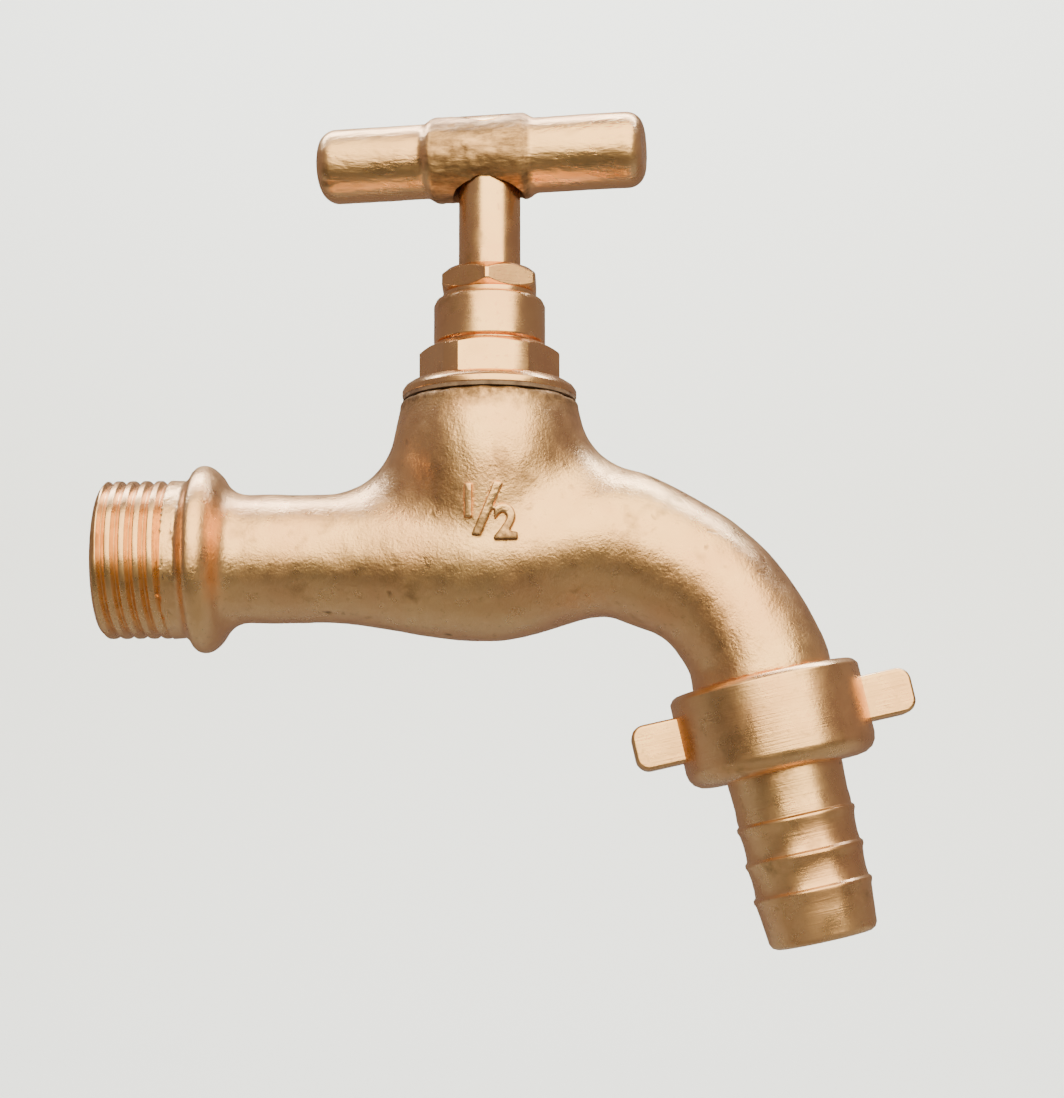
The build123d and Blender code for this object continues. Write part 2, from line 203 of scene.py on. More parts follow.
def dark_card():
    """A dark card that lies in front, below the frame; it is seen only as a reflection."""
    bm = bmesh.new()
    bmesh.ops.create_grid(bm, x_segments=1, y_segments=1, size=0.5)
    bmesh.ops.scale(bm, verts=bm.verts, vec=CARD_SIZE)
    bmesh.ops.translate(bm, verts=bm.verts, vec=CARD_PLACE)
    felt = bpy.data.materials.new("dark_felt")
    felt.use_nodes = True
    tree = felt.node_tree
    shader = tree.nodes["Principled BSDF"]
    shader.inputs["Roughness"].default_value = 1.0
    where = tree.nodes.new("ShaderNodeTexCoord")
    split = tree.nodes.new("ShaderNodeSeparateXYZ")
    fade = tree.nodes.new("ShaderNodeMapRange")
    grey = tree.nodes.new("ShaderNodeCombineColor")
    tree.links.new(where.outputs["Object"], split.inputs[0])
    tree.links.new(split.outputs["Y"], fade.inputs["Value"])
    for label, number in zip(("From Min", "From Max", "To Min", "To Max"), CARD_FADE + CARD_TONES):
        fade.inputs[label].default_value = number
    for channel in ("Red", "Green", "Blue"):
        tree.links.new(fade.outputs["Result"], grey.inputs[channel])
    tree.links.new(grey.outputs["Color"], shader.inputs["Base Color"])
    card = stage_piece(bm, "dark_card", felt)
    card.visible_camera = False
    card.visible_shadow = False
    card.visible_diffuse = False


dark_card()
print("card from the front to", CARD_PLACE[1] + CARD_SIZE[1] / 2)

# %% [markdown]
# The key panel stands high in front and a little to the right, and its warm light makes the cream
# highlights golden. A small panel above edges the handle, and a cool one lights only the backdrop.

# %% Lights
CENTRE = (0.045, 0.0, 0.0)


def softbox(name, place, target, size, watts, colour):
    """A rectangular area light that faces a point."""
    data = bpy.data.lights.new(name, "AREA")
    data.shape = "RECTANGLE"
    data.size = size[0]
    data.size_y = size[1]
    data.energy = watts
    data.color = colour
    lamp = bpy.data.objects.new(name, data)
    bpy.context.collection.objects.link(lamp)
    aim = (Vector(place) - Vector(target)).to_track_quat("Z", "Y").to_matrix().to_4x4()
    lamp.matrix_world = Matrix.Translation(place) @ aim


softbox(
    "key_panel", place=(0.129, -0.394, 0.262), target=CENTRE, size=(0.80, 0.76), watts=8.5,
    colour=(1.0, 0.89, 0.54)
)
softbox(
    "top_panel", place=(0.04, 0.16, 0.46), target=CENTRE, size=(0.50, 0.30), watts=0.7,
    colour=(1.0, 0.86, 0.66)
)
softbox(
    "backdrop_panel", place=(0.04, 0.12, 0.40), target=(0.04, SWEEP_BACK, 0.0), size=(0.70, 0.20),
    watts=6.0, colour=(0.80, 0.91, 1.0)
)

world = bpy.data.worlds.new("studio")
world.use_nodes = True
bpy.context.scene.world = world
glow = world.node_tree.nodes["Background"]
glow.inputs["Color"].default_value = (0.90, 0.72, 0.63, 1)
glow.inputs["Strength"].default_value = 0.30

# %% [markdown]
# ## Finishes
# All the brass shares a few effects: the soft grain of a sand mould, the fine rings that a lathe
# leaves, and dull soil that gathers where pieces meet. Each effect is one node group, placed in each
# metal with its own values, so the pieces look like one batch of metal.

# %% Node helpers
def new_group(name, inputs, outputs):
    """A shader node group with float or colour sockets; returns it with its end nodes."""
    group = bpy.data.node_groups.new(name, "ShaderNodeTree")
    for label, kind, value in inputs:
        socket = group.interface.new_socket(label, in_out="INPUT", socket_type=kind)
        if value is not None:
            socket.default_value = value
    for label, kind in outputs:
        group.interface.new_socket(label, in_out="OUTPUT", socket_type=kind)
    return group, group.nodes.new("NodeGroupInput"), group.nodes.new("NodeGroupOutput")


def add(tree, kind, **settings):
    """A new node with its settings."""
    node = tree.nodes.new(kind)
    for key, value in settings.items():
        setattr(node, key, value)
    return node


def set_value(tree, socket, value):
    """Links a socket, or sets its number."""
    if isinstance(value, bpy.types.NodeSocket):
        tree.links.new(value, socket)
    else:
        socket.default_value = value


def texture_noise(tree, vector, scale, detail, roughness):
    """A noise texture fed by a vector."""
    node = add(tree, "ShaderNodeTexNoise")
    tree.links.new(vector, node.inputs["Vector"])
    set_value(tree, node.inputs["Scale"], scale)
    node.inputs["Detail"].default_value = detail
    node.inputs["Roughness"].default_value = roughness
    return node.outputs["Fac"]


def parts_of(tree, vector):
    """The X, Y and Z of a vector."""
    split = add(tree, "ShaderNodeSeparateXYZ")
    tree.links.new(vector, split.inputs[0])
    return split.outputs


def maths(tree, operation, *values):
    """A math node's result."""
    node = add(tree, "ShaderNodeMath", operation=operation)
    for socket, value in zip(node.inputs, values):
        set_value(tree, socket, value)
    return node.outputs[0]


def remap(tree, value, old_low, old_high, new_low, new_high):
    """A clamped map from one range to another."""
    node = add(tree, "ShaderNodeMapRange", clamp=True)
    set_value(tree, node.inputs["Value"], value)
    set_value(tree, node.inputs["From Min"], old_low)
    set_value(tree, node.inputs["From Max"], old_high)
    set_value(tree, node.inputs["To Min"], new_low)
    set_value(tree, node.inputs["To Max"], new_high)
    return node.outputs["Result"]


def mix_colour(tree, amount, first, second):
    """A colour mixed from two."""
    node = add(tree, "ShaderNodeMix", data_type="RGBA")
    # a Mix node keeps its colour sockets at these numbers, after those for floats and vectors
    set_value(tree, node.inputs[0], amount)
    set_value(tree, node.inputs[6], first)
    set_value(tree, node.inputs[7], second)
    return node.outputs[2]


def add_bump(tree, shader, height, distance):
    """A Bump node that turns a height into the shader's normal."""
    lump = add(tree, "ShaderNodeBump")
    lump.inputs["Distance"].default_value = distance
    tree.links.new(height, lump.inputs["Height"])
    tree.links.new(lump.outputs["Normal"], shader.inputs["Normal"])


print("node helpers ready")

# %% [markdown]
# **Mould grain.** Sand leaves grains of about a third of a millimetre, over longer ripples, with a
# few sharp pits. The group gives a height for the bump and a mask for the pits, which also go dark.

# %% Mould grain group
PIT_EDGE = 0.12
RIPPLE_SHARE = 0.45
GRAIN_SHARE = 0.55
PIT_DEPTH = -0.8


def make_mould_grain():
    """The height of a sand-cast skin, with its pits and its long ripples as masks."""
    group, given, result = new_group(
        "mould_grain",
        [
            ("Vector", "NodeSocketVector", None),
            ("Grain Scale", "NodeSocketFloat", 2600.0),
            ("Ripple Scale", "NodeSocketFloat", 420.0),
            ("Pit Scale", "NodeSocketFloat", 330.0),
            ("Pit Share", "NodeSocketFloat", 0.72),
        ],
        [("Height", "NodeSocketFloat"), ("Pits", "NodeSocketFloat"), ("Ripple", "NodeSocketFloat")],
    )
    vector = given.outputs["Vector"]
    grain = texture_noise(group, vector, given.outputs["Grain Scale"], 3.0, 0.6)
    ripple = texture_noise(group, vector, given.outputs["Ripple Scale"], 3.0, 0.55)
    spots = texture_noise(group, vector, given.outputs["Pit Scale"], 2.0, 0.5)
    pit_end = maths(group, "ADD", given.outputs["Pit Share"], PIT_EDGE)
    pits = remap(group, spots, given.outputs["Pit Share"], pit_end, 0.0, 1.0)
    height = maths(group, "MULTIPLY", ripple, RIPPLE_SHARE)
    height = maths(group, "MULTIPLY_ADD", grain, GRAIN_SHARE, height)
    height = maths(group, "MULTIPLY_ADD", pits, PIT_DEPTH, height)
    group.links.new(height, result.inputs["Height"])
    group.links.new(pits, result.inputs["Pits"])
    group.links.new(ripple, result.inputs["Ripple"])
    return group


MOULD_GRAIN = make_mould_grain()
print("group", MOULD_GRAIN.name)

# %% [markdown]
# **Turning rings.** A lathe tool leaves rings square to the axis. Noise that is stretched very long
# round the axis and kept tight along it does this without any drawn lines.

# %% Turning rings group
RING_STRETCH = 0.02


def make_turning_rings():
    """The height of tool rings about local Z."""
    group, given, result = new_group(
        "turning_rings",
        [("Vector", "NodeSocketVector", None), ("Ring Scale", "NodeSocketFloat", 5200.0)],
        [("Height", "NodeSocketFloat")],
    )
    x, y, z = parts_of(group, given.outputs["Vector"])
    across = maths(group, "MULTIPLY", x, RING_STRETCH)
    depth = maths(group, "MULTIPLY", y, RING_STRETCH)
    join = add(group, "ShaderNodeCombineXYZ")
    group.links.new(across, join.inputs[0])
    group.links.new(depth, join.inputs[1])
    group.links.new(z, join.inputs[2])
    rings = texture_noise(group, join.outputs[0], given.outputs["Ring Scale"], 2.0, 0.5)
    group.links.new(rings, result.inputs["Height"])
    return group


TURNING_RINGS = make_turning_rings()
print("group", TURNING_RINGS.name)

# %% [markdown]
# **Patina.** Handled brass is never one colour. The group moves the metal between a clean, a rosy
# and a dull tone with broad blotches, and darkens the pits.

# %% Patina group
FLECK_SCALE = 700.0
SMUDGE_SCALE = 150.0


def make_patina():
    """A brass colour that wanders between three tones, and a mask of its grime and painted shade."""
    group, given, result = new_group(
        "patina",
        [
            ("Vector", "NodeSocketVector", None),
            ("Clean", "NodeSocketColor", (0.9, 0.6, 0.4, 1)),
            ("Rosy", "NodeSocketColor", (0.8, 0.5, 0.35, 1)),
            ("Dull", "NodeSocketColor", (0.4, 0.28, 0.2, 1)),
            ("Blotch Scale", "NodeSocketFloat", 90.0),
            # Soil is grime on most pieces, but painted shade on the size mark
            ("Soil", "NodeSocketFloat", 0.0),
            ("Pits", "NodeSocketFloat", 0.0),
        ],
        [("Color", "NodeSocketColor"), ("DirtAndShade", "NodeSocketFloat")],
    )
    vector = given.outputs["Vector"]
    blotch = texture_noise(group, vector, given.outputs["Blotch Scale"], 3.0, 0.6)
    fleck = texture_noise(group, vector, FLECK_SCALE, 4.0, 0.7)
    smudge = texture_noise(group, vector, SMUDGE_SCALE, 3.0, 0.6)
    rosy = remap(group, blotch, 0.38, 0.66, 0.0, 0.85)
    colour = mix_colour(group, rosy, given.outputs["Clean"], given.outputs["Rosy"])
    smudge = remap(group, smudge, 0.60, 0.70, 0.0, 0.55)
    smudge = maths(group, "MULTIPLY", smudge, remap(group, fleck, 0.35, 0.6, 0.3, 1.0))
    flecks = remap(group, fleck, 0.58, 0.78, 0.0, 0.40)
    dirt_and_shade = maths(group, "MAXIMUM", flecks, smudge)
    dirt_and_shade = maths(group, "MAXIMUM", dirt_and_shade, given.outputs["Pits"])
    # on the size mark this mask is painted shade, darkening its lower ends through the flecks
    stain_and_shade = remap(group, maths(group, "MULTIPLY", fleck, given.outputs["Soil"]), 0.18, 0.55, 0.0, 0.9)
    dirt_and_shade = maths(group, "MAXIMUM", dirt_and_shade, stain_and_shade)
    colour = mix_colour(group, dirt_and_shade, colour, given.outputs["Dull"])
    group.links.new(colour, result.inputs["Color"])
    group.links.new(dirt_and_shade, result.inputs["DirtAndShade"])
    return group


PATINA = make_patina()
print("group", PATINA.name)

# %% [markdown]
# **Metals.** Each metal is one Principled shader, fully metallic, fed by the groups. The casting is
# rougher and grainier than the turned brass. The Mapping node turns the pattern so that its Z lies
# along the piece's own axis.

# %% Metal materials
CLEAN = (0.93, 0.57, 0.29, 1)
ROSY = (0.84, 0.46, 0.24, 1)
DULL = (0.19, 0.11, 0.06, 1)
DIRT_DULLS = 0.25


def place_group(tree, group, **values):
    """A group node in a material, with its inputs set by name."""
    node = tree.nodes.new("ShaderNodeGroup")
    node.node_tree = group
    for label, value in values.items():
        set_value(tree, node.inputs[label.replace("_", " ")], value)
    return node


def new_material(name, turn=(0, 0, 0), stretch=(1, 1, 1)):
    """A material with its tree, shader, object position, and that position turned and stretched."""
    material = bpy.data.materials.new(name)
    material.use_nodes = True
    tree = material.node_tree
    where = add(tree, "ShaderNodeTexCoord").outputs["Object"]
    mapping = add(tree, "ShaderNodeMapping")
    tree.links.new(where, mapping.inputs["Vector"])
    mapping.inputs["Rotation"].default_value = turn
    mapping.inputs["Scale"].default_value = stretch
    return material, tree, tree.nodes["Principled BSDF"], where, mapping.outputs["Vector"]


def metal(
    name, roughness, bump, grain=1.0, rings=0.0, turn=(0, 0, 0), stretch=(1, 1, 1), soil_and_shade=None,
    sizes=(2600, 420, 330, 0.72), tones=(CLEAN, ROSY, DULL)
):
    """A brass: grain and rings for its bump, patina for its colour, and grime and painted shade that
    dull its gloss.

    Sizes are the grain's, ripples' and pits' scales, and the level above which noise is a pit.
    """
    material, tree, shader, where, vector = new_material(name, turn, stretch)
    skin = place_group(
        tree, MOULD_GRAIN, Vector=vector, Grain_Scale=sizes[0], Ripple_Scale=sizes[1],
        Pit_Scale=sizes[2], Pit_Share=sizes[3]
    )
    soil_and_shade_amount = soil_and_shade(tree, where) if soil_and_shade else 0.0
    look = place_group(
        tree, PATINA, Vector=vector, Clean=tones[0], Rosy=tones[1], Dull=tones[2], Soil=soil_and_shade_amount,
        Pits=skin.outputs["Pits"]
    )
    tree.links.new(look.outputs["Color"], shader.inputs["Base Color"])
    height = maths(tree, "MULTIPLY", skin.outputs["Height"], grain)
    if rings:
        lathe_marks = place_group(tree, TURNING_RINGS, Vector=vector)
        height = maths(tree, "MULTIPLY_ADD", lathe_marks.outputs["Height"], rings, height)
    add_bump(tree, shader, height, bump)
    uneven = remap(tree, skin.outputs["Ripple"], 0.3, 0.7, roughness - 0.05, roughness + 0.07)
    gloss = maths(tree, "MULTIPLY_ADD", look.outputs["DirtAndShade"], DIRT_DULLS, uneven)
    tree.links.new(gloss, shader.inputs["Roughness"])
    shader.inputs["Metallic"].default_value = 1.0
    return material


print("metals are made of", MOULD_GRAIN.name, TURNING_RINGS.name, PATINA.name)

# %% [markdown]
# ** Soil and painted shade.** Grime stays where a cloth doesn't reach: under the bonnet's seam, on the
# unpolished boss and in the thread's roots. The raised figures get painted shade instead, darker
# towards their lower ends. Each place is a small mask, worked out from the position on the piece.

# %% Soil and painted shade masks
SEAM_Z = low("bonnet_washer").z
HANDLE_SHIFT = -1.2


def seam_soil(tree, where):
    """Soil that hangs just below the bonnet's seam and fades down the neck."""
    height = parts_of(tree, where)[2]
    fade = remap(tree, height, SEAM_Z - 4.5 * MM, SEAM_Z - 0.4 * MM, 0.0, 1.1)
    below = remap(tree, height, SEAM_Z, SEAM_Z + 0.4 * MM, 1.0, 0.0)
    return maths(tree, "MULTIPLY", fade, below)


def mark_painted_shade(tree, where):
    """Painted shade on the raised size mark, strongest at its foot and fading upwards."""
    return remap(tree, parts_of(tree, where)[2], -0.4 * MM, 5.6 * MM, 1.5, 0.15)


def boss_soil(tree, where):
    """Soil in the unpolished boss, by distance along the bar from the handle's middle."""
    along = maths(tree, "SUBTRACT", parts_of(tree, where)[0], STEM.x + HANDLE_SHIFT * MM)
    return remap(tree, maths(tree, "ABSOLUTE", along), 6.4 * MM, 7.4 * MM, 0.85, 0.0)


def root_soil(tree, where):
    """Soil in the roots of the inlet thread, by distance from the inlet axis."""
    _, y, z = parts_of(tree, where)
    square = maths(tree, "MULTIPLY_ADD", z, z, maths(tree, "MULTIPLY", y, y))
    return remap(tree, maths(tree, "SQRT", square), 9.8 * MM, 10.3 * MM, 0.55, 0.1)


print("soil starts under the seam at", round(SEAM_Z, 4))

# %% [markdown]
# Six brasses come from these parts. The casting is the grainiest, the handle's grain runs along its
# bar, and the turned pieces carry rings about their own axes.

# %% Brass finishes
NOSE_TURN = (0, LEAN - math.pi, 0)
INLET_TURN = (0, math.pi / 2, 0)
THREAD_TONES = ((0.92, 0.56, 0.28, 1), (0.80, 0.44, 0.21, 1), (0.30, 0.15, 0.07, 1))

CAST_BRASS = metal(
    "cast_brass_skin", roughness=0.30, bump=0.00011, soil_and_shade=seam_soil, sizes=(2600, 420, 330, 0.70)
)
# the size mark is darkened towards its lower ends as painted shade
MARK_BRASS = metal("mark_brass_skin", roughness=0.32, bump=0.00008, soil_and_shade=mark_painted_shade)
HANDLE_BRASS = metal(
    "handle_brass_skin", roughness=0.28, bump=0.00014, soil_and_shade=boss_soil,
    sizes=(1900, 330, 420, 0.70), stretch=(0.3, 1, 1)
)
STEM_BRASS = metal(
    "stem_brass_skin", roughness=0.24, bump=0.00004, grain=0.35, rings=0.5,
    sizes=(2600, 300, 520, 0.76)
)
NOSE_BRASS = metal(
    "nose_brass_skin", roughness=0.28, bump=0.00006, grain=0.6, rings=0.35, turn=NOSE_TURN,
    sizes=(2400, 320, 480, 0.74)
)
THREAD_BRASS = metal(
    "thread_brass_skin", roughness=0.27, bump=0.00005, grain=0.5, turn=INLET_TURN, soil_and_shade=root_soil,
    sizes=(2600, 500, 500, 0.74), tones=THREAD_TONES
)
print("materials", [m.name for m in bpy.data.materials])

# %% [markdown]
# ## Shapes
# A few helpers carry the modelling. A lathe spins a closed outline about Z, soften bevels every hard
# edge as tumbling and handling do, and combine joins or cuts solids with an applied Boolean.

# %% Shape helpers
STEPS = 112
MERGE = 2e-6
SHARP_TURN = 38


def every(bm):
    """All of a bmesh's vertices, edges and faces."""
    return list(bm.verts) + list(bm.edges) + list(bm.faces)


def lathe(corners, steps=STEPS):
    """Spins a closed outline of (radius, height) in millimetres about Z."""
    bm = bmesh.new()
    ring = [bm.verts.new((r * MM, 0, z * MM)) for r, z in corners]
    wire = [bm.edges.new((ring[i - 1], ring[i])) for i in range(len(ring))]
    bmesh.ops.spin(
        bm, geom=ring + wire, cent=(0, 0, 0), axis=(0, 0, 1), dvec=(0, 0, 0), angle=2 * math.pi,
        steps=steps, use_merge=True, use_normal_flip=False, use_duplicate=False
    )
    bmesh.ops.remove_doubles(bm, verts=bm.verts, dist=1e-7)
    bmesh.ops.recalc_face_normals(bm, faces=bm.faces)
    return bm


def round_edges(bm, edges, width, segments):
    """Bevels edges by a width in millimetres."""
    bmesh.ops.bevel(
        bm, geom=edges, offset=width * MM, offset_type="OFFSET", affect="EDGES", segments=segments,
        profile=0.5, material=-1, clamp_overlap=True
    )


def soften(bm, width, above):
    """Bevels every edge that turns by more than an angle in degrees."""
    bend = math.radians(above)
    hard = [e for e in bm.edges if len(e.link_faces) == 2 and e.calc_face_angle(0) > bend]
    round_edges(bm, hard, width, segments=3)
    return bm


def turned(bm, degrees, axis):
    """Turns a bmesh about an axis through the origin."""
    turn = Matrix.Rotation(math.radians(degrees), 3, axis)
    bmesh.ops.rotate(bm, verts=bm.verts, cent=(0, 0, 0), matrix=turn)
    return bm


def moved(bm, x, y, z):
    """Moves a bmesh by millimetres."""
    bmesh.ops.translate(bm, verts=bm.verts, vec=(x * MM, y * MM, z * MM))
    return bm


def grown(bm, height):
    """Gives flat faces a thickness along Z, in millimetres."""
    made = bmesh.ops.extrude_face_region(bm, geom=list(bm.faces))["geom"]
    bmesh.ops.translate(bm, verts=verts_of(made), vec=(0, 0, height * MM))
    bmesh.ops.recalc_face_normals(bm, faces=bm.faces)
    return bm


def hexagon(across_flats, start, end, turn):
    """A hexagonal bar on Z in millimetres, its first corner turned from +X in degrees."""
    bm = bmesh.new()
    corner_radius = across_flats / math.sqrt(3)
    bmesh.ops.create_circle(bm, cap_ends=True, segments=6, radius=corner_radius * MM)
    # the operator puts its first corner on +Y
    turned(bm, turn - 90, "Z")
    return grown(moved(bm, 0, 0, start), end - start)


def as_object(bm, name):
    """Turns a bmesh into an object at the origin."""
    mesh = bpy.data.meshes.new(name)
    bm.to_mesh(mesh)
    bm.free()
    made = bpy.data.objects.new(name, mesh)
    bpy.context.collection.objects.link(made)
    return made


def settled(thing):
    """A bmesh of an object with its modifiers applied; the object is removed."""
    graph = bpy.context.evaluated_depsgraph_get()
    mesh = bpy.data.meshes.new_from_object(thing.evaluated_get(graph))
    bm = bmesh.new()
    bm.from_mesh(mesh)
    bpy.data.meshes.remove(mesh)
    bpy.data.objects.remove(thing, do_unlink=True)
    return bm


print("lathes turn in", STEPS, "steps")

# %% [markdown]
# Two solids are joined or cut with an exact Boolean. A casting's skin is made the way a clay model
# is: remeshed evenly, then relaxed, so every join gets a fillet. Last, a piece is placed, shaded,
# given its metal and set to ride on its body.

# %% Joining and finishing
def combine(first, second, operation):
    """Joins, cuts or intersects two closed bmeshes with an exact Boolean."""
    base = as_object(first, "base_shape")
    tool = as_object(second, "tool_shape")
    cut = base.modifiers.new("combine", "BOOLEAN")
    cut.operation = operation
    cut.solver = "EXACT"
    cut.object = tool
    bm = settled(base)
    bpy.data.objects.remove(tool, do_unlink=True)
    bmesh.ops.remove_doubles(bm, verts=bm.verts, dist=MERGE)
    bmesh.ops.dissolve_degenerate(bm, edges=bm.edges, dist=MERGE)
    return bm


def relaxed(bm, grid, turns):
    """Remeshes a solid to an even grid in millimetres, then smooths it a number of times."""
    rough = as_object(bm, "rough_shape")
    remesh = rough.modifiers.new("even_grid", "REMESH")
    remesh.mode = "VOXEL"
    remesh.voxel_size = grid * MM
    bm = settled(rough)
    for _ in range(turns):
        bmesh.ops.smooth_vert(
            bm, verts=bm.verts, factor=0.5, use_axis_x=True, use_axis_y=True, use_axis_z=True
        )
    return bm


def roughen(bm, depth, size, seed, share=None):
    """Moves points along their normals by smooth noise; depth and size in millimetres."""
    bm.normal_update()
    for vert in bm.verts:
        amount = share(vert.co) if share else 1.0
        shift = Vector((seed, seed, seed))
        wave = noise.fractal(vert.co / (size * MM) + shift, 0.8, 2.0, 3)
        vert.co += vert.normal * wave * depth * MM * amount
    return bm


def finish_piece(bm, name, place, body, material, nodes=()):
    """Puts a shape in its place as a finished piece that rides on a body."""
    bmesh.ops.transform(bm, matrix=place, verts=bm.verts)
    piece = as_object(bm, name)
    piece.data.shade_smooth()
    piece.data.set_sharp_from_angle(angle=math.radians(SHARP_TURN))
    weigh = piece.modifiers.new("even_shading", "WEIGHTED_NORMAL")
    weigh.keep_sharp = True
    piece.data.materials.append(material)
    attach(piece, body)
    if nodes:
        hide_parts(*nodes)
    print(name, "triangles", sum(len(p.vertices) - 2 for p in piece.data.polygons))
    return piece


print("pieces are sharp above", SHARP_TURN, "degrees")

# %% [markdown]
# ## Threads
# A thread is a one-pitch outline that is spun many turns while it climbs, so each turn's edge meets
# the next. Two plane cuts give it square ends, and its radius is held under a cone at the lead and
# above a cone at the run-out, as a die leaves it.

# %% Thread helper
THREAD_ROUND = 0.12
LEAD_SLOPE = 1.2
RIM_REACH = 0.002


def climbing_ridge(root, major, pitch, start, end, valley, crest, steps):
    """An open sheet: one pitch's outline that is spun while it climbs, cut square at both ends."""
    bm = bmesh.new()
    middle = (1 + valley) / 2
    outline = (
        (root, 0.0), (root, valley), (major, middle - crest / 2), (major, middle + crest / 2),
        (root, 1.0),
    )
    points = [bm.verts.new((r * MM, 0, (start - pitch + share * pitch) * MM)) for r, share in outline]
    for pair in zip(points, points[1:]):
        bm.edges.new(pair)
    bmesh.ops.bevel(
        bm, geom=points[1:4], offset=THREAD_ROUND * MM, offset_type="OFFSET", affect="VERTICES",
        segments=3, profile=0.5, material=-1
    )
    turns = math.ceil((end - start) / pitch) + 2
    bmesh.ops.spin(
        bm, geom=list(bm.verts) + list(bm.edges), cent=(0, 0, 0), axis=(0, 0, 1),
        dvec=(0, 0, pitch * MM / steps), angle=2 * math.pi * turns, steps=steps * turns,
        use_merge=False, use_duplicate=False
    )
    bmesh.ops.remove_doubles(bm, verts=bm.verts, dist=MERGE)
    for height, clear_low in ((start, True), (end, False)):
        bmesh.ops.bisect_plane(
            bm, geom=every(bm), plane_co=(0, 0, height * MM), plane_no=(0, 0, 1),
            clear_inner=clear_low, clear_outer=not clear_low
        )
    return bm


def threaded_sleeve(
    major, depth, pitch, start, end, bore, lead, runout, valley=0.16, crest=0.16, steps=72
):
    """A sleeve on Z with a right-hand outside thread; millimetres, with valley and crest in pitches."""
    root = major - depth
    bm = climbing_ridge(root, major, pitch, start, end, valley, crest, steps)
    for vert in bm.verts:
        radius = vert.co.xy.length / MM
        height = vert.co.z / MM
        ceiling = major - lead + (height - start) * LEAD_SLOPE
        floor = root + depth * max(0.0, 1 - (end - height) / runout)
        held = min(radius, ceiling, major)
        if height > start + lead:
            held = max(held, min(floor, major))
        vert.co.xy *= held / radius
    rims = []
    for height in (start, end):
        near = [e for e in bm.edges if e.is_boundary]
        rim = [e for e in near if all(abs(v.co.z / MM - height) < RIM_REACH for v in e.verts)]
        made = bmesh.ops.extrude_edge_only(bm, edges=rim)["geom"]
        for vert in verts_of(made):
            vert.co.xy *= bore * MM / vert.co.xy.length
        rims += [g for g in made if isinstance(g, bmesh.types.BMEdge) and g.is_boundary]
    bmesh.ops.bridge_loops(bm, edges=rims)
    bmesh.ops.recalc_face_normals(bm, faces=bm.faces)
    return bm


print("threads are rounded by", THREAD_ROUND, "mm")

# %% [markdown]
# ## The casting
# The body is one sand casting. Its skin is the CAD solid remeshed evenly, so that every join has the
# soft fillet that molten metal gives, then relaxed and made slightly uneven. The inlet thread and
# the nose are cut off square first, because those are machined and are modelled on their own.

# %% Body casting
INLET_END = low("tap_body").x / MM
CUT_X = -1.8
NOSE_CUT = 1.0
SKIN_GRID = 0.42
SKIN_SINK = 0.09


def cap_cut(bm, point, direction):
    """Cuts away everything in front of a plane and closes the pipe's wall there with a ring."""
    bmesh.ops.bisect_plane(
        bm, geom=every(bm), plane_co=point, plane_no=direction, clear_outer=True, dist=1e-6
    )
    rim = [e for e in bm.edges if e.is_boundary]
    bmesh.ops.bridge_loops(bm, edges=rim)


def casting_blank():
    """The CAD body, cut square at the inlet and the nose, with the soft joins of a casting."""
    bm = bmesh.new()
    bm.from_mesh(frame["nodes"]["tap_body"].data)
    bmesh.ops.remove_doubles(bm, verts=bm.verts, dist=1e-6)
    cap_cut(bm, Vector((CUT_X * MM, 0, 0)), Vector((-1, 0, 0)))
    cap_cut(bm, NOSE + NOSE_DOWN * NOSE_CUT * MM, NOSE_DOWN)
    bmesh.ops.recalc_face_normals(bm, faces=bm.faces)
    return relaxed(bm, SKIN_GRID, turns=5)


print("inlet is cut at", CUT_X, "of", round(INLET_END, 2), "mm")

# %% [markdown]
# The collar is a rounded bead that stands up from a plain band, where the thread ends. The band is
# held to one radius and stays slightly lumpy, because the die stops short of it.

# %% Collar
COLLAR_FOOT = 0.1
COLLAR_MIDDLE = 2.75
COLLAR_END = 5.2
COLLAR_R = 12.5
BAND_START = -1.6
BAND_R = 10.5
BAND_INNER_R = 10.3
COLLAR_FOOT_R = 10.48
OUTSIDE_R = 10


def shape_collar(bm):
    """Holds the casting's outside near the inlet under the collar's crown and the band's radius."""
    for vert in bm.verts:
        radius = vert.co.yz.length / MM
        along = vert.co.x / MM
        if not (BAND_START < along < COLLAR_END and radius > OUTSIDE_R):
            continue
        foot = COLLAR_FOOT_R + max(0.0, along - COLLAR_FOOT) ** 2 * 0.75
        crown = COLLAR_R - 0.28 * (along - COLLAR_MIDDLE) ** 2
        held = min(radius, foot, crown)
        if along < COLLAR_FOOT and radius > BAND_INNER_R:
            held = BAND_R
        if along < 1:
            held += noise.noise(vert.co / (1.1 * MM)) * 0.07
        vert.co.yz *= held / radius


print("collar reaches", COLLAR_R, "mm from the inlet axis")

# %% [markdown]
# The skin wanders by about a tenth of a millimetre over long and short waves, and the neck's rim is
# worn down unevenly, so the seam under the bonnet is not a ruled line.

# %% Cast skin
NECK_TOP = low("bonnet_washer").z / MM
RIM_DEPTH = 1.4
RIM_INNER_R = 10.2
RIM_WEAR = 0.28


